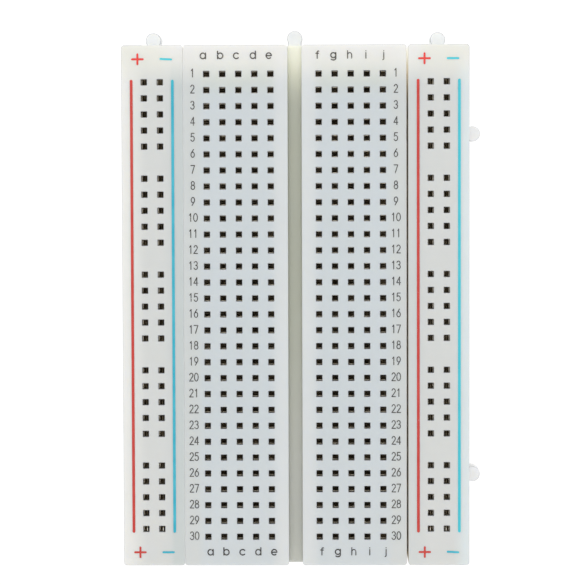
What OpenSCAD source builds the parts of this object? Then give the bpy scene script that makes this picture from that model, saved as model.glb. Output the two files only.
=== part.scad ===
// Half-size solderless breadboard: a 30-row main block with a detachable power rail at each side.
// Origin: centre of the main block's footprint, on the underside of the release liner.
// +X points from the left power rail to the right one, +Y towards row 1, +Z up. Millimetres.

/* [Tie-point grid] */
// Distance between neighbouring tie points
pitch = 2.54; // [2.5:0.01:2.6]
// Rows of tie points in the main block
rows = 30; // [24:6:30]
// Tie points that share one spring clip
row_points = 5; // [3:1:5]
// Distance between the two innermost columns, in pitches
bridge_pitches = 3; // [3:1:4]
// Side of a square tie-point hole
hole_w = 0.9; // [0.8:0.05:1.1]
// Side of the bevelled mouth of a tie-point hole
mouth_w = 1.12; // [1.12:0.02:1.3]

/* [Housings] */
// Height of the plastic housings
housing_h = 8.5; // [8.4:0.1:9.5]
// Plastic outside the outermost columns of the main block
side_margin = 3.73; // [3.4:0.01:4]
// Plastic beyond the first and last rows
end_margin = 4.57; // [4:0.01:6]
// Plastic outside the two columns of a power rail
rail_margin = 3.575; // [3.4:0.005:4]
// Thickness of the perforated top plate
plate_t = 1.3; // [1:0.1:1.3]
// Radius of the vertical corners of each housing
corner_r = 0.45; // [0.2:0.05:1]
// Gap between the left rail and the main block
left_seam = 0.05; // [0.04:0.01:0.26]
// Gap between the main block and the right rail, near the end of the play in its joints
right_seam = 0.26; // [0.04:0.01:0.26]

/* [Ravine] */
// Width of the centre channel
ravine_w = 2.2; // [1.6:0.1:3]
// Depth of the centre channel
ravine_d = 3.2; // [2:0.1:3.4]

/* [Interlocks] */
// Radius of the round head of an interlock knob
knob_r = 1.2; // [1.1:0.02:1.3]
// Width of a knob's neck
neck_w = 2.1; // [1.9:0.05:2.15]
// Distance from a housing's side to the centre of a knob's head
side_knob_out = 0.72; // [0.65:0.01:0.9]
// Distance from the main block's end to the centre of its knob's head
main_end_knob_out = 1.18; // [0.65:0.01:1.3]
// Distance from a rail's end to the centre of its knob's head
rail_end_knob_out = 0.92; // [0.65:0.01:1.3]
// Height of a knob
knob_h = 4.2; // [3:0.1:4.3]
// Clearance round a knob in its socket
knob_gap = 0.08; // [0.06:0.01:0.1]
// Distance of the side interlocks from the middle of the board
side_joint_y = 27.3; // [20:0.1:30]

/* [Spring contacts] */
// Thickness of the contact strip
strip_t = 0.2; // [0.15:0.01:0.25]
// Length of one contact finger along the strip
finger_w = 1.8; // [1.4:0.1:2]
// Height of a contact, from its base to the tips of its leaves
contact_h = 6.7; // [6:0.1:6.7]

/* [Adhesive backing] */
// Thickness of the adhesive foam
foam_t = 0.9; // [0.6:0.05:1]
// Thickness of the release liner
liner_t = 0.1; // [0.1:0.01:0.15]
// How far the backing stands inside the housing's outline
backing_inset = 0.25; // [0.1:0.05:0.5]

/* [Hidden] */
$fn = 48;
slack = 0.5;  // how far a cutting shape runs past the face it opens
base_z = liner_t + foam_t;
top_z = base_z + housing_h;
roof_z = top_z - plate_t;
board_l = (rows - 1) * pitch + 2 * end_margin;
main_w = (bridge_pitches + 2 * (row_points - 1)) * pitch + 2 * side_margin;
rail_w = pitch + 2 * rail_margin;
left_rail_x = -(main_w + rail_w) / 2 - left_seam;
right_rail_x = (main_w + rail_w) / 2 + right_seam;
bank_x = (bridge_pitches + row_points - 1) * pitch / 2;  // middle of each five-way clip
socket_r = knob_r + knob_gap;
socket_head_room = 0.2;
socket_h = knob_h + socket_head_room;
mid_seam = 0.1;  // gap between modules that puts the knobs in the middle of their sockets
notch_gap = 0.35;  // extra room that the backing leaves round a socket

// Contact strips: the cavity that holds one, and the leaves' cross-section
cavity_w = 1.9;
cavity_slack = 0.17;  // room past each end of a strip
contact_lift = 0.3;  // height of a strip's base above the adhesive foam
contact_z = base_z + contact_lift;
leg_u = 0.62;  // half the distance between the legs
knee_v = 1.7;  // height at which the leaves start to lean together
pinch_u = 0.04;  // half the gap at the pinch
flare_h = 0.9;  // height of the flared mouth above the pinch
pinch_v = contact_h - flare_h;
flare_u = 0.36;  // half the gap at the flared tips
finger_root_v = 1.2;  // height at which the fingers part

// Tie-point positions
half_row = [for (i = [0:row_points - 1]) (i - (row_points - 1) / 2) * pitch];
groups = floor(rows / 6);
rail_points = [for (g = [0:groups - 1], i = [0:4]) (6 * g + i - (3 * groups - 1)) * pitch];
function row_y(r) = ((rows + 1) / 2 - r) * pitch;

RAILS = ["left", "right"];
function rail_x(side) = side == "left" ? left_rail_x : right_rail_x;
function row_name(r) = str("terminal_clips_row_", r < 10 ? "0" : "", r);

// ---- Shapes shared by the three modules ----

module rounded_plan(w, l) {
    square([w - 2 * corner_r, l], center = true);
    square([w, l - 2 * corner_r], center = true);
    for (sx = [-1, 1], sy = [-1, 1])
        translate([sx * (w / 2 - corner_r), sy * (l / 2 - corner_r)]) circle(r = corner_r);
}

// A round head on a neck, reaching from the line x = 0 towards +X
module key_plan(out, r, neck) {
    translate([out, 0]) circle(r = r);
    translate([-slack, -neck / 2]) square([out + slack, neck]);
}

// Knobs on the right face and the row 1 end of a housing
module knobs(w, end_knob_out) {
    for (y = [-side_joint_y, side_joint_y])
        translate([w / 2, y, base_z]) linear_extrude(knob_h) key_plan(side_knob_out, knob_r, neck_w);
    translate([0, board_l / 2, base_z]) rotate(90)
        linear_extrude(knob_h) key_plan(end_knob_out, knob_r, neck_w);
}

// Sockets in the left face and the last row's end of a housing
module sockets(w, end_knob_out, gap = 0) {
    module socket(knob_out) {
        translate([0, 0, base_z - slack]) linear_extrude(socket_h + slack)
            key_plan(knob_out - mid_seam, socket_r + gap, neck_w + 2 * (knob_gap + gap));
    }
    for (y = [-side_joint_y, side_joint_y]) translate([-w / 2, y, 0]) socket(side_knob_out);
    translate([0, -board_l / 2, 0]) rotate(90) socket(end_knob_out);
}

// One hole through the top plate, with a bevelled mouth
module tie_point() {
    bevel = (mouth_w - hole_w) / 2;
    run = bevel + slack;
    module wedge_plan() {
        polygon([[-hole_w / 2, -bevel], [hole_w / 2, -bevel],
                 [hole_w / 2 + run, slack], [-hole_w / 2 - run, slack]]);
    }
    translate([-hole_w / 2, -hole_w / 2, roof_z - slack]) cube([hole_w, hole_w, plate_t + 2 * slack]);
    wedge_l = mouth_w + 2 * slack;
    translate([0, 0, top_z]) intersection() {
        rotate([90, 0, 0]) linear_extrude(wedge_l, center = true) wedge_plan();
        rotate([90, 0, 90]) linear_extrude(wedge_l, center = true) wedge_plan();
    }
}

// The pocket under the top plate that holds one contact strip along X
module cavity(points) {
    l = points[len(points) - 1] - points[0] + finger_w + 2 * cavity_slack;
    translate([-l / 2, -cavity_w / 2, base_z - slack]) cube([l, cavity_w, roof_z - base_z + slack]);
    for (x = points) translate([x, 0, 0]) tie_point();
}

module housing(w, end_knob_out) {
    difference() {
        union() {
            translate([0, 0, base_z]) linear_extrude(housing_h) rounded_plan(w, board_l);
            knobs(w, end_knob_out);
        }
        sockets(w, end_knob_out);
        children();
    }
}

// A contact strip along X: a base with two leaves that lean together, slit into fingers
module contact(points) {
    l = points[len(points) - 1] - points[0] + finger_w;
    inner = [[leg_u, strip_t], [leg_u, knee_v], [pinch_u, pinch_v], [flare_u, contact_h]];
    outer = [[leg_u, 0], [leg_u, knee_v], [pinch_u, pinch_v], [flare_u, contact_h]];
    right = concat([for (p = outer) p + [strip_t, 0]], [for (i = [3:-1:0]) inner[i]]);
    left = [for (i = [7:-1:0]) [-right[i][0], right[i][1]]];
    translate([0, 0, contact_z]) difference() {
        rotate([90, 0, 90]) linear_extrude(l, center = true) polygon(concat(right, left));
        for (i = [0:len(points) - 2]) {
            slit = points[i + 1] - points[i] - finger_w;
            translate([points[i] + finger_w / 2, -slack - leg_u, finger_root_v])
                cube([slit, 2 * (slack + leg_u), contact_h]);
        }
    }
}

module backing(w, end_knob_out, z, t) {
    difference() {
        translate([0, 0, z]) linear_extrude(t)
            rounded_plan(w - 2 * backing_inset, board_l - 2 * backing_inset);
        translate([0, 0, z - base_z]) sockets(w, end_knob_out, notch_gap);
    }
}

// ---- Main block ----

module main_housing() {
    color("whitesmoke") housing(main_w, main_end_knob_out) {
        translate([-ravine_w / 2, -board_l / 2 - slack, top_z - ravine_d])
            cube([ravine_w, board_l + 2 * slack, ravine_d + slack]);
        for (r = [1:rows], sx = [-1, 1]) translate([sx * bank_x, row_y(r), 0]) cavity(half_row);
    }
}

// The two clips of one row, one on each side of the ravine
module terminal_clips(r) {
    color("silver") for (sx = [-1, 1])
        translate([sx * bank_x, row_y(r), 0]) contact(half_row);
}

module main_foam_pad() {
    color("ivory") backing(main_w, main_end_knob_out, liner_t, foam_t);
}

module main_release_liner() {
    color("khaki") backing(main_w, main_end_knob_out, 0, liner_t);
}

// ---- Power rails ----

module rail_housing(side) {
    color("whitesmoke") translate([rail_x(side), 0, 0]) housing(rail_w, rail_end_knob_out)
        for (sx = [-1, 1]) translate([sx * pitch / 2, 0, 0]) rotate(90) cavity(rail_points);
}

module bus_strip(side, sx) {
    color("silver") translate([rail_x(side) + sx * pitch / 2, 0, 0]) rotate(90) contact(rail_points);
}

module rail_foam_pad(side) {
    color("ivory") translate([rail_x(side), 0, 0])
        backing(rail_w, rail_end_knob_out, liner_t, foam_t);
}

module rail_release_liner(side) {
    color("khaki") translate([rail_x(side), 0, 0])
        backing(rail_w, rail_end_knob_out, 0, liner_t);
}

// ---- Assembly ----

main_housing();
main_foam_pad();
main_release_liner();
for (r = [1:rows])
    terminal_clips(r);
for (side = RAILS) {
    rail_housing(side);
    bus_strip(side, -1);
    bus_strip(side, 1);
    rail_foam_pad(side);
    rail_release_liner(side);
}
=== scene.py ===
import math

import bmesh
import bpy
from mathutils import Euler, Matrix, Vector
from mathutils.geometry import delaunay_2d_cdt


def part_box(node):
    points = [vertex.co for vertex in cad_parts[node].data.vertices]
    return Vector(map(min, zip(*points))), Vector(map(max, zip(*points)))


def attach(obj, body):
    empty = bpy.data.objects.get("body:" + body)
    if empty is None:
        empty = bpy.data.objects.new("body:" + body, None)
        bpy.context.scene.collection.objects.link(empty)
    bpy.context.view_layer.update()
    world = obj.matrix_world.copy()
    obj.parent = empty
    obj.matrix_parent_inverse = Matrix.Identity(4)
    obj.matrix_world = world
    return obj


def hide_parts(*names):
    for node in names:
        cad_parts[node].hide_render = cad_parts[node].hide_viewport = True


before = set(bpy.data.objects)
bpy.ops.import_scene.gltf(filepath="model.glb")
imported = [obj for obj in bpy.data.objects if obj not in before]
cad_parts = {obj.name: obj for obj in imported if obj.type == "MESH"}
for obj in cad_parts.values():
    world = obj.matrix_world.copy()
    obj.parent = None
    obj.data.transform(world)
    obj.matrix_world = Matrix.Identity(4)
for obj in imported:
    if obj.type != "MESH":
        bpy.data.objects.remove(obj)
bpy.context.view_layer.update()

MM = 0.001

# Grid and interlocks, as in the CAD source
PITCH = 2.54
ROWS = 30
ROW_POINTS = 5
RAIL_GROUPS = 5
BANK_X = 3.5 * PITCH
HOLE_W = 0.9
MOUTH_DEPTH = 0.22
PLATE_T = 1.3
CAVITY_W = 1.9
CAVITY_PAST_POINT = 1.07
RAVINE_W = 2.2
RAVINE_D = 3.2
CORNER_R = 0.45
KNOB_R = 1.2
SIDE_KNOB_OUT = 0.72
NECK_W = 2.1
KNOB_H = 4.2
KNOB_GAP = 0.08
MID_SEAM = 0.1
SOCKET_H = 4.4
SIDE_JOINT_Y = 27.3

# Moulded detail
TOP_FILLET = 0.1
FOOT_CHAMFER = 0.1
KNOB_FOOT_CHAMFER = 0.08
KNOB_TOP_CHAMFER = 0.12
LEFT_RAIL_LEAN = 0.045  # closes most of the left seam, which reads as a hairline
RAIL_X = 22.7  # the middle of either rail, to within about 0.1
ARC_STEPS = 5
PAST = 0.6  # how far a cutting shape runs past the face that it opens

# Printed legend
INK_T = 0.012
LINE_W = 0.45
LINE_X = 3.26
SIGN_L = 2.0
SIGN_W = 0.32
SIGN_X = 2.25
LETTER_SIZE = (0.92, 0.88)
LETTER_W = 0.19
DIGIT_W = 0.14
DIGIT_SIZE = (0.62, 1.25)
DIGIT_STEP = 0.8
DIGIT_RAISE = 0.18

bpy.context.scene.view_settings.view_transform = "Standard"


def node_box(node):
    """Lowest and highest corner of a CAD node, in millimetres."""
    low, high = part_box(node)
    return low / MM, high / MM


MAIN_LOW, MAIN_HIGH = node_box("main_housing")
TOP_Z = MAIN_HIGH.z
BASE_Z = MAIN_LOW.z
ROOF_Z = TOP_Z - PLATE_T
END_Y = -MAIN_LOW.y
LENGTH = 2 * END_Y
LEFT_SEAM_X = MAIN_LOW.x
RIGHT_RAIL_LOW, RIGHT_RAIL_HIGH = node_box("right_rail_housing")
RIGHT_SEAM_X = (RIGHT_RAIL_LOW.x - MAIN_LOW.x) / 2
RIGHT_FACE_X = RIGHT_RAIL_HIGH.x - SIDE_KNOB_OUT - KNOB_R


def row_y(row):
    return ((ROWS + 1) / 2 - row) * PITCH


HALF_ROW = [(i - (ROW_POINTS - 1) / 2) * PITCH for i in range(ROW_POINTS)]
RAIL_POINTS = [
    (6 * group + i - (3 * RAIL_GROUPS - 1)) * PITCH
    for group in range(RAIL_GROUPS)
    for i in range(ROW_POINTS)
]
COLUMNS = [side * BANK_X + x for side in (-1, 1) for x in HALF_ROW]


# ---- Outlines, all anticlockwise lists of (x, y) ----


def arc(cx, cy, rx, ry, start, end, steps=ARC_STEPS):
    """Points along an elliptical arc between two angles in degrees."""
    turn = [math.radians(start + (end - start) * i / steps) for i in range(steps + 1)]
    return [(cx + rx * math.cos(a), cy + ry * math.sin(a)) for a in turn]


def rounded_rectangle(width, length, radius, steps=ARC_STEPS):
    points = []
    for quarter, (sx, sy) in enumerate(((1, 1), (-1, 1), (-1, -1), (1, -1))):
        cx, cy = sx * (width / 2 - radius), sy * (length / 2 - radius)
        points += arc(cx, cy, radius, radius, 90 * quarter, 90 * quarter + 90, steps)
    return points


def key_outline(out, radius, neck, back=PAST):
    """A round head on a neck, reaching from x = -back towards +X."""
    turn = math.degrees(math.asin(neck / 2 / radius))
    head = arc(out, 0, radius, radius, turn - 180, 180 - turn, 24)
    return [(-back, -neck / 2)] + head + [(-back, neck / 2)]


def moved(points, dx, dy, quarter_turns=0):
    for _ in range(quarter_turns):
        points = [(-y, x) for x, y in points]
    return [(x + dx, y + dy) for x, y in points]


# ---- Solids ----


def new_object(name, bm):
    bmesh.ops.recalc_face_normals(bm, faces=bm.faces)
    mesh = bpy.data.meshes.new(name)
    bm.to_mesh(mesh)
    bm.free()
    obj = bpy.data.objects.new(name, mesh)
    bpy.context.scene.collection.objects.link(obj)
    return obj


def add_loft(bm, rings):
    """A closed solid through rings of 3D points, each with the same number of points."""
    loops = [[bm.verts.new(p) for p in ring] for ring in rings]
    count = len(loops[0])
    for below, above in zip(loops, loops[1:]):
        for i in range(count):
            j = (i + 1) % count
            bm.faces.new((below[i], below[j], above[j], above[i]))
    bm.faces.new(loops[0][::-1])
    bm.faces.new(loops[-1])


def add_stack(bm, layers):
    """A closed solid through flat outlines at rising heights: layers of (z, outline)."""
    add_loft(bm, [[(x, y, z) for x, y in outline] for z, outline in layers])


def solid(name, *stacks):
    bm = bmesh.new()
    for layers in stacks:
        add_stack(bm, layers)
    return new_object(name, bm)


def carve(target, tool, operation="DIFFERENCE"):
    """Cuts the tool out of the target, or joins it on, and deletes the tool."""
    change = target.modifiers.new("carve", "BOOLEAN")
    change.object = tool
    change.operation = operation
    change.solver = "MANIFOLD"
    graph = bpy.context.evaluated_depsgraph_get()
    carved = bpy.data.meshes.new_from_object(target.evaluated_get(graph))
    target.modifiers.clear()
    target.data = carved
    bpy.data.objects.remove(tool)


def finish_piece(piece, body, crease=40):
    """Scales a finished piece to metres, smooths its curved faces and ties it to its body."""
    piece.data.transform(Matrix.Scale(MM, 4))
    piece.data.set_sharp_from_angle(angle=math.radians(crease))
    piece.data.shade_smooth()
    piece.modifiers.new("weighted normals", "WEIGHTED_NORMAL").keep_sharp = True
    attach(piece, body)
    return piece


# ---- Housings ----


def body_layers(cx, width):
    """The plain moulding: chamfered foot, straight walls and a rounded top edge."""

    def outline(inset):
        plan = rounded_rectangle(width - 2 * inset, LENGTH - 2 * inset, CORNER_R - inset)
        return moved(plan, cx, 0)

    layers = [(BASE_Z, outline(FOOT_CHAMFER)), (BASE_Z + FOOT_CHAMFER, outline(0))]
    for i in range(ARC_STEPS + 1):
        a = math.radians(90 * i / ARC_STEPS)
        height = TOP_Z - TOP_FILLET * (1 - math.sin(a))
        layers.append((height, outline(TOP_FILLET * (1 - math.cos(a)))))
    return layers


def knob_layers(outline_at):
    """A knob with chamfered ends; outline_at gives its plan at an inset."""
    top = BASE_Z + KNOB_H
    return [
        (BASE_Z, outline_at(KNOB_FOOT_CHAMFER)),
        (BASE_Z + KNOB_FOOT_CHAMFER, outline_at(0)),
        (top - KNOB_TOP_CHAMFER, outline_at(0)),
        (top, outline_at(KNOB_TOP_CHAMFER)),
    ]


def knobs(cx, width, end_knob_out):
    def plan(out, inset):
        return key_outline(out, KNOB_R - inset, NECK_W - 2 * inset)

    stacks = [
        knob_layers(lambda inset, y=y: moved(plan(SIDE_KNOB_OUT, inset), cx + width / 2, y))
        for y in (-SIDE_JOINT_Y, SIDE_JOINT_Y)
    ]
    stacks.append(knob_layers(lambda inset: moved(plan(end_knob_out, inset), cx, END_Y, 1)))
    return solid("knobs", *stacks)


def sockets(cx, width, end_knob_out):
    def plan(knob_out):
        return key_outline(knob_out - MID_SEAM, KNOB_R + KNOB_GAP, NECK_W + 2 * KNOB_GAP)

    places = [moved(plan(SIDE_KNOB_OUT), cx - width / 2, y) for y in (-SIDE_JOINT_Y, SIDE_JOINT_Y)]
    places.append(moved(plan(end_knob_out), cx, -END_Y, 1))
    top = BASE_Z + SOCKET_H
    return solid("sockets", *[[(BASE_Z - PAST, p), (top, p)] for p in places])


def tie_point_layers(x, y):
    """One square hole: a softly bevelled mouth, then a straight shaft into the cavity."""
    levels = (
        (ROOF_Z - 0.3, 0.0),
        (TOP_Z - MOUTH_DEPTH, 0.0),
        (TOP_Z - 0.1, 0.015),
        (TOP_Z - 0.04, 0.05),
        (TOP_Z, 0.11),
        (TOP_Z + 0.2, 0.31),
    )
    layers = []
    for z, flare in levels:
        side = HOLE_W + 2 * flare
        layers.append((z, moved(rounded_rectangle(side, side, 0.07 + flare / 2, 3), x, y)))
    return layers


def cavity_layers(x, y, length, width):
    plan = moved(rounded_rectangle(length, width, 0.1, 2), x, y)
    return [(BASE_Z - PAST, plan), (ROOF_Z, plan)]


def ravine():
    """The centre channel: rounded lips along its edges, a filleted floor and flared ends."""
    lip, floor_fillet = 0.05, 0.25
    flare_r, fall = 0.4, 0.3
    floor = TOP_Z - RAVINE_D

    def ring(y, flare, drop):
        half = RAVINE_W / 2 + flare
        base = floor - drop
        right = arc(half - floor_fillet, base + floor_fillet, floor_fillet, floor_fillet, -90, 0)
        right += arc(half + lip, TOP_Z - lip, lip, lip, 180, 90)
        right.append((half + lip, TOP_Z + PAST))
        left = [(-x, z) for x, z in reversed(right)]
        return [(x, y, z) for x, z in right + left]

    stations = [(END_Y + PAST, flare_r, fall * flare_r)]
    for i in range(ARC_STEPS + 1):
        a = math.radians(90 * i / ARC_STEPS)
        inwards = flare_r * (1 - math.cos(a))
        spread = flare_r * (1 - math.sin(a))
        stations.append((END_Y - inwards, spread, fall * spread))
    rings = [ring(y, flare, drop) for y, flare, drop in stations]
    rings += [ring(-y, flare, drop) for y, flare, drop in reversed(stations)]
    bm = bmesh.new()
    add_loft(bm, rings)
    return new_object("ravine", bm)


def housing(name, body, node, tie_points, cavities, extra_cut=None, lean=0.0):
    """One module's moulding; lean is how much further its right wall reaches than the CAD's."""
    low, high = node_box(node)
    width = high.x - low.x - SIDE_KNOB_OUT - KNOB_R
    cx = low.x + width / 2
    end_knob_out = high.y - END_Y - KNOB_R
    piece = solid(name, body_layers(cx + lean / 2, width + lean))
    carve(piece, knobs(cx, width, end_knob_out), "UNION")
    carve(piece, sockets(cx, width, end_knob_out))
    if extra_cut:
        carve(piece, extra_cut())
    carve(piece, solid("cavities", *[cavity_layers(cx + x, y, l, w) for x, y, l, w in cavities]))
    carve(piece, solid("holes", *[tie_point_layers(cx + x, y) for x, y in tie_points]))
    piece.data.materials.clear()
    piece.data.materials.append(materials["housing_plastic"])
    piece.data.materials.append(materials["hollow_plastic"])
    shade_hollows(piece.data, cx, cavities)
    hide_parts(node)
    return finish_piece(piece, body)


def shade_hollows(mesh, cx, cavities):
    """Gives the faces inside the shafts and cavities the material with painted shade for hollows."""
    boxes = [(cx + x, y, length / 2 + 0.01, width / 2 + 0.01) for x, y, length, width in cavities]
    for face in mesh.polygons:
        c = face.center
        if not BASE_Z < c.z < TOP_Z - MOUTH_DEPTH - 0.01:
            continue
        if any(abs(c.x - x) < hx and abs(c.y - y) < hy for x, y, hx, hy in boxes):
            face.material_index = 1


def main_housing():
    bar = HALF_ROW[-1] - HALF_ROW[0] + 2 * CAVITY_PAST_POINT
    cavities = [
        (side * BANK_X, row_y(row), bar, CAVITY_W) for row in range(1, ROWS + 1) for side in (-1, 1)
    ]
    points = [(x, row_y(row)) for row in range(1, ROWS + 1) for x in COLUMNS]
    return housing("main_block_moulding", "main_block", "main_housing", points, cavities, ravine)


def rail_housing(side):
    bar = RAIL_POINTS[-1] - RAIL_POINTS[0] + 2 * CAVITY_PAST_POINT
    cavities = [(sx * PITCH / 2, 0, CAVITY_W, bar) for sx in (-1, 1)]
    points = [(sx * PITCH / 2, y) for y in RAIL_POINTS for sx in (-1, 1)]
    lean = LEFT_RAIL_LEAN if side == "left" else 0.0
    name = f"{side}_rail"
    return housing(f"{name}_moulding", name, f"{name}_housing", points, cavities, None, lean)


# ---- Ink ----


def stroke_outline(points, width):
    """The outline of a pen stroke with round ends along a line of points."""
    half = width / 2
    directions = []
    for i in range(len(points)):
        before, after = points[max(i - 1, 0)], points[min(i + 1, len(points) - 1)]
        directions.append(math.atan2(after[1] - before[1], after[0] - before[0]))
    right = [(x + half * math.sin(a), y - half * math.cos(a)) for (x, y), a in zip(points, directions)]
    left = [(x - half * math.sin(a), y + half * math.cos(a)) for (x, y), a in zip(points, directions)]
    end, start = math.degrees(directions[-1]), math.degrees(directions[0])
    end_cap = arc(*points[-1], half, half, end - 90, end + 90, 6)[1:-1]
    start_cap = arc(*points[0], half, half, start + 90, start + 270, 6)[1:-1]
    return right + end_cap + left[::-1] + start_cap


def simple_runs(points):
    """Splits a pen stroke at its corners, and wherever it would curl back over itself."""
    corner, curl = 0.7, 2.0  # radians
    runs, turned = [[points[0]]], 0.0
    for before, here, after in zip(points, points[1:], points[2:]):
        runs[-1].append(here)
        arriving = Vector(here) - Vector(before)
        turn = abs(arriving.angle_signed(Vector(after) - Vector(here), 0.0))
        turned += turn
        if turn > corner or turned > curl:
            runs.append([here])
            turned = 0.0
    runs[-1].append(points[-1])
    return runs


def add_depth(bm, depth):
    """Closes flat faces into a sheet, with a copy of them below and walls along their edges."""
    faces = bm.faces[:]
    borders = [edge for edge in bm.edges if edge.is_boundary]
    below = {v: bm.verts.new((v.co.x, v.co.y, v.co.z - depth)) for v in bm.verts[:]}
    for face in faces:
        bm.faces.new([below[v] for v in reversed(face.verts)])
    for edge in borders:
        a, b = edge.verts
        bm.faces.new((a, b, below[b], below[a]))


def ink_piece(name, body, material, groups):
    """Flat printed shapes: the outlines within a group overlap and become one film."""
    bm = bmesh.new()
    for outlines in groups:
        points, faces = [], []
        for outline in outlines:
            faces.append(list(range(len(points), len(points) + len(outline))))
            points += [Vector(p) for p in outline]
        flat, _, triangles, _, _, covered_by = delaunay_2d_cdt(points, [], faces, 0, 1e-5)
        verts = [bm.verts.new((p.x, p.y, TOP_Z + INK_T)) for p in flat]
        for triangle, covering in zip(triangles, covered_by):
            if covering:
                bm.faces.new([verts[i] for i in triangle])
    loose = [v for v in bm.verts if not v.link_faces]
    bmesh.ops.delete(bm, geom=loose, context="VERTS")
    bmesh.ops.dissolve_limit(bm, angle_limit=0.01, verts=bm.verts, edges=bm.edges)
    add_depth(bm, 2 * INK_T)
    piece = new_object(name, bm)
    piece.data.materials.append(materials[material])
    return finish_piece(piece, body)


# Pen strokes: a pair is a point, and six numbers are an elliptical arc. Letters have an
# x-height of 1, and digits fill a 1 by 1 box.
GLYPHS = {
    "a": [[(0.45, 0.5, 0.45, 0.5, 30, 395)], [(0.9, 1.0), (0.9, 0.0)]],
    "b": [[(0.0, 1.32), (0.0, 0.0)], [(0.45, 0.5, 0.45, 0.5, 150, -215)]],
    "c": [[(0.5, 0.5, 0.48, 0.5, 45, 315)]],
    "d": [[(0.45, 0.5, 0.45, 0.5, 30, 395)], [(0.9, 1.32), (0.9, 0.0)]],
    "e": [[(0.03, 0.5), (0.9, 0.5), (0.46, 0.5, 0.45, 0.5, 0, 312)]],
    "f": [[(0.5, 1.26), (0.42, 1.08, 0.2, 0.22, 75, 180), (0.22, 0.0)], [(0.0, 0.9), (0.46, 0.9)]],
    "g": [
        [(0.45, 0.55, 0.43, 0.45, 30, 395)],
        [(0.88, 1.0), (0.88, 0.05), (0.46, 0.0, 0.42, 0.32, 0, -140)],
    ],
    "h": [[(0.0, 1.32), (0.0, 0.0)], [(0.35, 0.6, 0.35, 0.38, 170, 0), (0.7, 0.0)]],
    "i": [[(0.0, 0.98), (0.0, 0.0)], [(0.0, 1.28), (0.0, 1.3)]],
    "j": [[(0.2, 0.98), (0.2, -0.1), (0.0, -0.1, 0.2, 0.2, 0, -80)], [(0.2, 1.28), (0.2, 1.3)]],
    "0": [[(0.5, 0.5, 0.48, 0.5, 90, 460)]],
    "1": [[(0.25, 0.8), (0.55, 1.0), (0.55, 0.0)]],
    "2": [[(0.5, 0.72, 0.42, 0.28, 165, -25), (0.05, 0.0), (0.98, 0.0)]],
    "3": [
        [(0.48, 0.75, 0.4, 0.25, 160, -80)],
        [(0.48, 0.27, 0.46, 0.27, 90, -160)],
    ],
    "4": [[(0.75, 0.0), (0.75, 1.0), (0.0, 0.28), (1.0, 0.28)]],
    "5": [[(0.9, 1.0), (0.2, 1.0), (0.12, 0.55), (0.48, 0.32, 0.46, 0.32, 125, -155)]],
    "6": [[(0.5, 0.32, 0.44, 0.32, 90, 460)], [(0.72, 1.0), (0.12, 0.5), (0.06, 0.32)]],
    "7": [[(0.02, 1.0), (0.96, 1.0), (0.35, 0.0)]],
    "8": [[(0.5, 0.76, 0.38, 0.24, 90, 460)], [(0.5, 0.27, 0.46, 0.27, 90, 460)]],
    "9": [[(0.5, 0.68, 0.44, 0.32, 90, 460)], [(0.28, 0.0), (0.88, 0.5), (0.94, 0.68)]],
}


def glyph(char, x, y, size, pen):
    """The stroke outlines of one character with its lower left corner at (x, y)."""
    degrees_a_step = 18
    outlines = []
    for stroke in GLYPHS[char]:
        points = []
        for item in stroke:
            if len(item) == 2:
                points.append(item)
            else:
                steps = max(4, round(abs(item[5] - item[4]) / degrees_a_step))
                points += arc(*item, steps)
        points = [(x + px * size[0], y + py * size[1]) for px, py in points]
        outlines += [stroke_outline(run, pen) for run in simple_runs(points)]
    return outlines


def column_letters():
    """Letters a to j above the first row and below the last one. The print lies off its
    columns: unevenly above the first row, and by the same amount below the last one."""
    top_baseline, bottom_baseline = 39.26, -39.75
    top_slips = (-0.5, -0.3, -0.34, -0.22, -0.25, -0.2, -0.2, -0.16, -0.13, 0.08)
    bottom_slip = 0.35
    widths = {"f": 0.46, "h": 0.7, "i": 0.0, "j": 0.25}
    groups = []
    for char, x, slip in zip("abcdefghij", COLUMNS, top_slips):
        half = widths.get(char, 0.92) * LETTER_SIZE[0] / 2
        pen = LETTER_W * (0.85 if char in "fhij" else 1.0)
        groups.append(glyph(char, x + slip - half, top_baseline, LETTER_SIZE, pen))
        groups.append(glyph(char, x + bottom_slip - half, bottom_baseline, LETTER_SIZE, pen))
    return groups


def row_numbers():
    """Numbers 1 to 30 outside the outer columns, a little above their rows' middles."""
    groups = []
    width, height = DIGIT_SIZE
    left_x, right_x = COLUMNS[0] - 2.2, COLUMNS[-1] + 2.05
    for row in range(1, ROWS + 1):
        text = str(row)
        y = row_y(row) + DIGIT_RAISE - height / 2
        span = width + DIGIT_STEP * (len(text) - 1)
        for x in (left_x, right_x):
            for i, char in enumerate(text):
                groups.append(glyph(char, x - span / 2 + i * DIGIT_STEP, y, DIGIT_SIZE, DIGIT_W))
    return groups


def sign(x, y, tilt=0.0, upright=False):
    """A plus or minus sign drawn with a broad pen; the plus is a little wider than high."""
    half = (SIGN_L - SIGN_W) / 2
    dx, dy = half * math.cos(tilt), half * math.sin(tilt)
    strokes = [stroke_outline([(x - dx, y - dy), (x + dx, y + dy)], SIGN_W)]
    if upright:
        rise = 0.93 * half
        strokes.append(stroke_outline([(x, y - rise), (x, y + rise)], SIGN_W))
    return strokes


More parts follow.
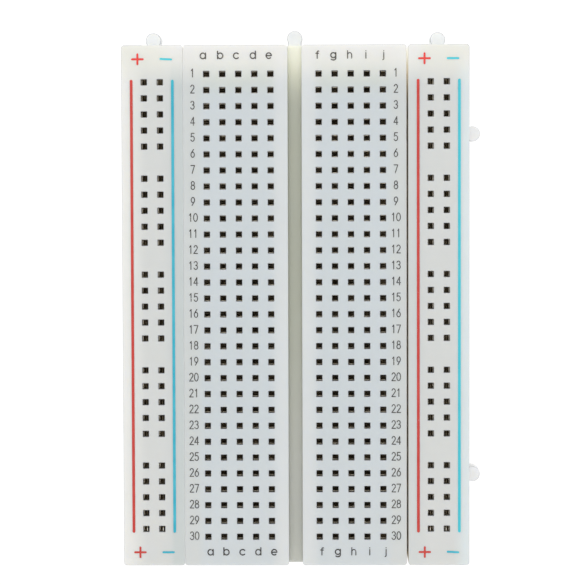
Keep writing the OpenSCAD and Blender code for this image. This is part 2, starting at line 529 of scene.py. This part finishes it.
def rail_print(side):
    """The red and blue lines and signs of one power rail."""
    low, high = node_box(f"{side}_rail_housing")
    cx = (low.x + high.x - SIDE_KNOB_OUT - KNOB_R) / 2
    top, bottom, sign_y = 35.75, -35.95, 39.2
    tilt = math.radians(-3)
    red = [[stroke_outline([(cx - LINE_X, bottom), (cx - LINE_X, top)], LINE_W)]]
    blue = [[stroke_outline([(cx + LINE_X, bottom), (cx + LINE_X, top)], LINE_W)]]
    for y in (sign_y, -sign_y - 0.1):
        red.append(sign(cx - SIGN_X, y, upright=True))
        level = (y > 0) == (side == "right")
        blue.append(sign(cx + SIGN_X, y, 0.0 if level else tilt))
    body = f"{side}_rail"
    return (
        ink_piece(f"{side}_rail_red_print", body, "red_ink", red),
        ink_piece(f"{side}_rail_blue_print", body, "blue_ink", blue),
    )


# ---- Materials ----


def rgb(red, green, blue):
    """Linear colour from 0-255 display values."""
    return tuple(((value / 255 + 0.055) / 1.055) ** 2.4 for value in (red, green, blue)) + (1.0,)


class Graph:
    """A material's nodes, with short calls for the kinds used here."""

    def __init__(self, name):
        self.material = bpy.data.materials.new(name)
        self.material.use_nodes = True
        self.tree = self.material.node_tree
        self.shader = self.tree.nodes["Principled BSDF"]
        self.where = self.node("ShaderNodeTexCoord").outputs["Object"]

    def node(self, kind, **settings):
        made = self.tree.nodes.new(kind)
        for key, value in settings.items():
            setattr(made, key, value)
        return made

    def link(self, output, socket):
        self.tree.links.new(output, socket)

    def set(self, **values):
        for key, value in values.items():
            self.shader.inputs[key.replace("_", " ")].default_value = value

    def noise(self, size_mm, detail=2.0, roughness=0.5):
        """Noise whose features are about size_mm across."""
        made = self.node("ShaderNodeTexNoise")
        made.inputs["Scale"].default_value = 1 / (size_mm * MM)
        made.inputs["Detail"].default_value = detail
        made.inputs["Roughness"].default_value = roughness
        self.link(self.where, made.inputs["Vector"])
        return made.outputs["Fac"]

    def remap(self, value, low, high, to_low=0.0, to_high=1.0, smooth=False):
        made = self.node("ShaderNodeMapRange", clamp=True)
        made.interpolation_type = "SMOOTHSTEP" if smooth else "LINEAR"
        settings = {"From Min": low, "From Max": high, "To Min": to_low, "To Max": to_high}
        for key, number in settings.items():
            made.inputs[key].default_value = number
        self.link(value, made.inputs["Value"])
        return made.outputs["Result"]

    def ramp(self, place, low, high, to_low=0.0, to_high=1.0, smooth=False):
        """remap for a coordinate, with the range it runs over in millimetres."""
        return self.remap(place, low * MM, high * MM, to_low, to_high, smooth)

    def math(self, operation, a, b=None):
        made = self.node("ShaderNodeMath", operation=operation)
        for socket, value in zip(made.inputs, (a, b)):
            if isinstance(value, (int, float)):
                socket.default_value = value
            elif value is not None:
                self.link(value, socket)
        return made.outputs["Value"]

    def distance(self, place, centre):
        """How far a coordinate is from a centre given in millimetres."""
        return self.math("ABSOLUTE", self.math("SUBTRACT", place, centre * MM))

    def both(self, a, b):
        return self.math("MULTIPLY", a, b)

    def either(self, a, b):
        return self.math("MAXIMUM", a, b)

    def but(self, mask):
        """Everywhere but in the mask."""
        return self.math("SUBTRACT", 1.0, mask)

    def mix(self, factor, a, b):
        made = self.node("ShaderNodeMix", data_type="RGBA")
        for key, value in {"Factor": factor, "A": a, "B": b}.items():
            if isinstance(value, (int, float, tuple)):
                made.inputs[key].default_value = value
            else:
                self.link(value, made.inputs[key])
        return made.outputs["Result"]

    def axis(self, name):
        made = self.node("ShaderNodeSeparateXYZ")
        self.link(self.where, made.inputs["Vector"])
        return made.outputs[name]

    def bump(self, height, strength, distance_mm):
        made = self.node("ShaderNodeBump")
        made.inputs["Strength"].default_value = strength
        made.inputs["Distance"].default_value = distance_mm * MM
        self.link(height, made.inputs["Height"])
        self.link(made.outputs["Normal"], self.shader.inputs["Normal"])


def plastic_tone(g, x, y, z, row_1_end):
    """The moulding's tone, with painted light and shade: painted shade makes it cooler over the
    contacts and darker by the left seam, painted light makes it lighter by the ravine, the outer
    faces and the ends, and the walls get one even tone without that painted light."""
    across = g.math("ABSOLUTE", x)
    # Painted shade: greyer and cooler over the contacts, where the thin top lies over dark cavities.
    in_bank = g.ramp(g.distance(across, BANK_X), 5.2, 7.2, 1.0, 0.0, True)
    warm_rows = g.ramp(y, 32.5, 36.5, smooth=True)
    bank = g.mix(warm_rows, rgb(219, 226, 229), rgb(219, 225, 220))
    tone = g.mix(in_bank, rgb(222, 226, 225), bank)
    # Painted light: lighter by the ravine.
    by_ravine = g.ramp(across, 2.0, 4.4, 1.0, 0.0, True)
    tone = g.mix(by_ravine, tone, rgb(230, 234, 235))
    on_rail = g.ramp(across, 18.6, 21.5, smooth=True)
    tone = g.mix(on_rail, tone, rgb(227, 229, 227))
    # Painted light: lighter along the left face.
    left_face = g.ramp(x, -27.4, -23.2, 1.0, 0.0, True)
    tone = g.mix(left_face, tone, rgb(249, 249, 244))
    # Painted shade: darker between the blue line and the left seam.
    from_blue_line = g.ramp(x, -20.0, -19.2, smooth=True)
    on_left_rail = g.ramp(x, LEFT_SEAM_X - 0.1, LEFT_SEAM_X, 1.0, 0.0)
    tone = g.mix(g.both(from_blue_line, on_left_rail), tone, rgb(214, 221, 220))
    # Painted light: lighter along the right face.
    right_face = g.ramp(x, 24.8, 27.2, smooth=True)
    tone = g.mix(right_face, tone, rgb(232, 241, 243))
    # Painted light: a little lighter towards the row 30 end, and much lighter at the row 1 end.
    row_30_end = g.ramp(y, -41.0, -15.0, 0.12, 0.0, True)
    tone = g.mix(row_30_end, tone, rgb(254, 250, 244))
    tone = g.mix(row_1_end, tone, g.mix(on_rail, rgb(254, 253, 246), rgb(250, 250, 240)))
    # Painted shade: the walls get one even tone, without the painted light of the tops.
    walls = g.ramp(z, TOP_Z - 0.4, TOP_Z - 0.2, 1.0, 0.0)
    return g.mix(walls, tone, rgb(228, 231, 230))


def top_edge(g, x, y, z):
    """Where painted shade darkens the edges: 1 on the rounded top edges and the bevels of the holes,
    0 on the flat tops, the walls and the left seam, and faint where an edge has a knob below it."""
    across = g.math("ABSOLUTE", x)
    along = g.math("ABSOLUTE", y)
    by_side_knob = g.ramp(g.distance(along, SIDE_JOINT_Y), 1.3, 1.6, 1.0, 0.0)
    above_side_knob = g.both(by_side_knob, g.ramp(x, RIGHT_FACE_X - 0.65, RIGHT_FACE_X - 0.45))
    from_end_knob = g.math("MINIMUM", across, g.distance(across, RAIL_X))
    by_end_knob = g.ramp(from_end_knob, 1.3, 1.6, 1.0, 0.0)
    above_end_knob = g.both(by_end_knob, g.ramp(y, END_Y - 0.4, END_Y - 0.2))
    strength = g.remap(g.either(above_side_knob, above_end_knob), 0.0, 1.0, 1.0, 0.2)
    edge = g.both(g.ramp(z, TOP_Z - 0.05, TOP_Z - 0.002, 1.0, 0.0), strength)

    by_seam = g.ramp(g.distance(across, RIGHT_SEAM_X), 0.4, 0.5, 1.0, 0.0)
    by_side = g.either(by_seam, g.ramp(across, RIGHT_FACE_X - 0.65, RIGHT_FACE_X - 0.55))
    by_ravine = g.ramp(across, RAVINE_W / 2 + 0.3, RAVINE_W / 2 + 0.4, 1.0, 0.0)
    by_end = g.either(by_ravine, g.ramp(along, END_Y - 0.5, END_Y - 0.4))
    below_edge = g.ramp(z, TOP_Z - 0.16, TOP_Z - 0.11, 1.0, 0.0)
    edge = g.both(edge, g.but(g.both(g.either(by_side, by_end), below_edge)))
    edge = g.both(edge, g.ramp(z, TOP_Z - 0.4, TOP_Z - 0.2))
    return g.both(edge, g.ramp(g.distance(x, LEFT_SEAM_X), 0.12, 0.16))


def ravine_tone(g, y):
    """Painted shade on the ravine's floor and walls, lighter towards row 30, with painted light where
    light comes in at the row 1 end.
    """
    lower_half = g.ramp(y, -30.0, 5.0, 1.0, 0.0, True)
    tone = g.mix(lower_half, rgb(210, 212, 199), rgb(217, 218, 211))
    return g.mix(g.ramp(y, 31.0, 40.0, smooth=True), tone, rgb(247, 247, 232))


def housing_plastic():
    """White ABS, satin and slightly translucent. A faint glow stands for the light that it
    passes on in its seams, its knobs and the ravine's row 1 end."""
    g = Graph("housing_plastic")
    x, y, z = (g.axis(name) for name in "XYZ")
    across = g.math("ABSOLUTE", x)
    row_1_end = g.ramp(y, 34.2, 41.0, smooth=True)
    # Painted shade on the rounded top edges and the holes' bevels, darkest at the row 1 end.
    painted_edge_shade = g.mix(row_1_end, rgb(164, 167, 170), rgb(116, 119, 123))
    tone = g.mix(top_edge(g, x, y, z), plastic_tone(g, x, y, z, row_1_end), painted_edge_shade)

    # Painted light: the right seam's walls are tinted warm, and lighter towards the row 1 end, for
    # light that comes into the gap.
    in_right_seam = g.ramp(g.distance(x, RIGHT_SEAM_X), 0.14, 0.16, 1.0, 0.0)
    seam_mouth = g.ramp(y, 36.5, 40.0, smooth=True)
    tone = g.mix(in_right_seam, tone, g.mix(seam_mouth, rgb(243, 234, 216), rgb(251, 251, 247)))

    on_side_knob = g.ramp(x, RIGHT_FACE_X + 0.05, RIGHT_FACE_X + 0.1)
    on_end_knob = g.ramp(y, END_Y + 0.02, END_Y + 0.05)
    in_ravine = g.ramp(across, RAVINE_W / 2 - 0.02, RAVINE_W / 2 + 0.04, 1.0, 0.0)
    in_ravine = g.both(in_ravine, g.but(on_end_knob))
    in_ravine = g.both(in_ravine, g.ramp(z, TOP_Z - 0.4, TOP_Z - 0.05, 1.0, 0.0))
    # Painted shade in the ravine, but not on the end knob.
    tone = g.mix(in_ravine, tone, ravine_tone(g, y))

    knob_z = BASE_Z + KNOB_H
    knob_top = g.ramp(z, knob_z - 0.1, knob_z - 0.02)
    knob_side = g.ramp(z, knob_z - 0.5, knob_z - 0.4, 1.0, 0.0)
    knob_rim = g.but(g.either(knob_top, knob_side))
    # Painted shade on the knobs' chamfered rims; their tops are painted lighter on the side knobs and
    # darker on the end knobs to even out how light falls on them.
    tone = g.mix(on_side_knob, tone, g.mix(knob_rim, rgb(252, 252, 253), rgb(206, 209, 210)))
    tone = g.mix(on_end_knob, tone, g.mix(knob_rim, rgb(241, 243, 243), rgb(168, 172, 176)))
    mottled = g.mix(g.remap(g.noise(9, 3), 0.35, 0.65, 0.0, 0.05), tone, rgb(190, 193, 190))
    g.link(mottled, g.shader.inputs["Base Color"])

    side_glow = g.both(on_side_knob, g.ramp(x, RIGHT_FACE_X + 0.05, RIGHT_FACE_X + 1.55, 0.09, 0.0))
    end_glow = g.both(g.ramp(y, END_Y, END_Y + 1.6, 1.0, 0.15), g.ramp(across, 10.0, 20.0, 0.04, 0.09))
    knob_glow = g.both(knob_top, g.either(side_glow, g.both(on_end_knob, end_glow)))
    left_seam_glow = g.ramp(g.distance(x, LEFT_SEAM_X), 0.1, 0.14, 0.05, 0.0)
    right_seam_glow = g.both(in_right_seam, g.ramp(y, 31.5, 41.5, 0.0, 0.16, True))
    ravine_glow = g.both(in_ravine, g.ramp(y, 36.5, 40.5, 0.0, 0.06, True))
    seam_glow = g.math("ADD", right_seam_glow, left_seam_glow)
    glow = g.math("ADD", seam_glow, g.math("ADD", knob_glow, ravine_glow))
    g.link(glow, g.shader.inputs["Emission Strength"])
    warmth = g.mix(in_right_seam, (1.0, 1.0, 1.0, 1.0), (1.0, 0.95, 0.8, 1.0))
    g.link(warmth, g.shader.inputs["Emission Color"])

    g.set(Subsurface_Weight=0.55, Subsurface_Scale=0.0008, IOR=1.5, Specular_IOR_Level=0.36)
    g.shader.inputs["Subsurface Radius"].default_value = (1.0, 0.95, 0.85)
    g.link(g.remap(g.noise(1.2), 0.3, 0.7, 0.42, 0.5), g.shader.inputs["Roughness"])
    grain = g.math("ADD", g.math("MULTIPLY", g.noise(0.12), 0.4), g.noise(6.0))
    g.bump(grain, 0.25, 0.02)
    return g.material


def hollow_plastic():
    """Painted shade for the shafts and cavities: the same plastic painted dark, with a painted glow
    for a little light from below.
    """
    g = Graph("hollow_plastic")
    z = g.axis("Z")
    depth = g.ramp(z, TOP_Z - 0.9, TOP_Z - 0.2, smooth=True)
    on_rail = g.ramp(g.math("ABSOLUTE", g.axis("X")), 18.0, 18.5)
    # Painted shade: a dark, brownish base stands for the shade deep in the shafts and cavities.
    dark_shade_base = g.mix(g.noise(0.8), rgb(70, 66, 59), rgb(88, 83, 74))
    g.link(g.mix(depth, dark_shade_base, rgb(78, 73, 65)), g.shader.inputs["Base Color"])
    g.set(Roughness=0.7, Specular_IOR_Level=0.1, Emission_Color=(1.0, 0.95, 0.86, 1.0))
    below_roof = g.ramp(z, ROOF_Z - 0.3, ROOF_Z, 0.35, 0.01)
    glow = g.both(below_roof, g.remap(on_rail, 0.0, 1.0, 1.0, 2.6))
    g.link(glow, g.shader.inputs["Emission Strength"])
    return g.material


def contact_metal():
    """Nickel-plated spring strip, a little dulled, with rolling marks."""
    g = Graph("contact_metal")
    cloud = g.remap(g.noise(1.5, 4), 0.35, 0.65)
    g.link(g.mix(cloud, rgb(196, 188, 172), rgb(150, 142, 126)), g.shader.inputs["Base Color"])
    g.link(g.remap(g.noise(0.3), 0.3, 0.7, 0.32, 0.5), g.shader.inputs["Roughness"])
    g.set(Metallic=1.0)
    g.bump(g.noise(0.15), 0.2, 0.01)
    return g.material


def adhesive_foam():
    """Closed-cell foam tape, its cells showing along the cut edges."""
    g = Graph("adhesive_foam")
    cells = g.node("ShaderNodeTexVoronoi", feature="F1")
    cells.inputs["Scale"].default_value = 1 / (0.18 * MM)
    g.link(g.where, cells.inputs["Vector"])
    pore = g.remap(cells.outputs["Distance"], 0.1, 0.6)
    g.link(g.mix(pore, rgb(202, 200, 190), rgb(238, 237, 230)), g.shader.inputs["Base Color"])
    g.set(Roughness=0.9, Subsurface_Weight=0.3, Subsurface_Scale=0.0008, Specular_IOR_Level=0.2)
    g.bump(pore, 0.6, 0.06)
    return g.material


def liner_paper():
    """Waxed release paper: faint fibres, soft creases and a silicone sheen."""
    g = Graph("liner_paper")
    fibre = g.noise(0.25, 5, 0.65)
    crease = g.remap(g.noise(14, 1), 0.47, 0.53)
    tint = g.mix(g.remap(fibre, 0.35, 0.65), rgb(190, 179, 142), rgb(214, 205, 172))
    # Painted shade: the paper is a little darker along its creases.
    tint = g.mix(g.math("MULTIPLY", crease, 0.2), tint, rgb(160, 148, 110))
    g.link(tint, g.shader.inputs["Base Color"])
    g.link(g.remap(fibre, 0.3, 0.7, 0.38, 0.55), g.shader.inputs["Roughness"])
    g.set(Specular_IOR_Level=0.5)
    g.bump(g.math("ADD", fibre, g.math("MULTIPLY", crease, 0.5)), 0.3, 0.02)
    return g.material


def ink(name, colour, worn, lit, wear):
    """Pad-printed ink, uneven in density, with pinholes where it missed the plastic; more wear
    makes more of them. It is lighter (lit) at the row 1 end and the right face."""
    g = Graph(name)
    density = g.mix(g.remap(g.noise(2.5, 3), 0.35, 0.65), colour, worn)
    row_1_end = g.ramp(g.axis("Y"), 33.0, 40.5, smooth=True)
    right_face = g.ramp(g.axis("X"), 24.8, 27.2, smooth=True)
    density = g.mix(g.either(row_1_end, right_face), density, lit)
    missed = g.remap(g.noise(0.16, 2), 0.66 - wear, 0.72 - wear)
    g.link(g.mix(missed, density, rgb(215, 216, 214)), g.shader.inputs["Base Color"])
    g.link(g.remap(g.noise(0.4), 0.3, 0.7, 0.4, 0.55), g.shader.inputs["Roughness"])
    g.bump(g.noise(0.1), 0.2, 0.01)
    return g.material


materials = {
    "housing_plastic": housing_plastic(),
    "hollow_plastic": hollow_plastic(),
    "contact_metal": contact_metal(),
    "adhesive_foam": adhesive_foam(),
    "liner_paper": liner_paper(),
    "red_ink": ink("red_ink", rgb(208, 48, 38), rgb(216, 62, 50), rgb(250, 58, 46), -0.08),
    "blue_ink": ink("blue_ink", rgb(36, 182, 208), rgb(66, 194, 216), rgb(70, 222, 234), -0.08),
    "grey_ink": ink("grey_ink", rgb(38, 36, 35), rgb(60, 58, 56), rgb(72, 66, 56), 0.02),
}


def dress_cad_nodes():
    """Materials for the CAD nodes that stay: contacts, foam pads and liners."""
    looks = {
        "clips": "contact_metal",
        "strip": "contact_metal",
        "foam": "adhesive_foam",
        "liner": "liner_paper",
    }
    for name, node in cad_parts.items():
        for word, material in looks.items():
            if word in name:
                node.data.materials.clear()
                node.data.materials.append(materials[material])


# ---- Studio ----


def studio():
    """A softly backlit white table, a broad light overhead and one beyond the row 1 end."""
    world = bpy.data.worlds.new("studio")
    bpy.context.scene.world = world
    world.use_nodes = True
    sky = world.node_tree.nodes["Background"]
    sky.inputs["Color"].default_value = (1.0, 1.0, 1.0, 1.0)
    sky.inputs["Strength"].default_value = 0.49

    bm = bmesh.new()
    bmesh.ops.create_grid(bm, x_segments=1, y_segments=1, size=4.0)
    table = new_object("table", bm)
    g = Graph("table_white")
    g.link(g.mix(g.noise(40), rgb(96, 96, 96), rgb(100, 100, 100)), g.shader.inputs["Base Color"])
    g.set(Roughness=0.8, Specular_IOR_Level=0.1)
    g.set(Emission_Color=(1.0, 1.0, 1.0, 1.0), Emission_Strength=0.97)
    table.data.materials.append(g.material)

    area_light("overhead", (0.0, 0.1, 0.9), 0.8, 3.35)
    area_light("beyond_row_1", (-0.05, 0.8, 0.28), 0.5, 1.3)


def area_light(name, place, size, watts):
    data = bpy.data.lights.new(name, "AREA")
    data.size = size
    data.energy = watts
    light = bpy.data.objects.new(name, data)
    light.location = place
    light.rotation_euler = (-Vector(place)).to_track_quat("-Z", "Y").to_euler()
    bpy.context.scene.collection.objects.link(light)


def camera():
    """Nearly straight down from 400 mm, with the board a little above the middle."""
    place = (-0.424, 2.197, 400.0)
    tilt = Euler([math.radians(a) for a in (2.87, -0.83, 0.14)])
    data = bpy.data.cameras.new("camera")
    data.sensor_width = 36.0
    data.lens = 154.96
    data.clip_start, data.clip_end = 0.01, 20.0
    obj = bpy.data.objects.new("camera", data)
    pose = tilt.to_matrix().transposed().to_4x4() @ Matrix.Translation(place)
    pose.translation += Vector((0, 0, TOP_Z))
    pose.translation *= MM
    obj.matrix_world = pose
    bpy.context.scene.collection.objects.link(obj)
    bpy.context.scene.camera = obj


camera()
studio()
dress_cad_nodes()
main_housing()
for side in ("left", "right"):
    rail_housing(side)
    rail_print(side)
ink_piece("main_block_legend", "main_block", "grey_ink", column_letters() + row_numbers())
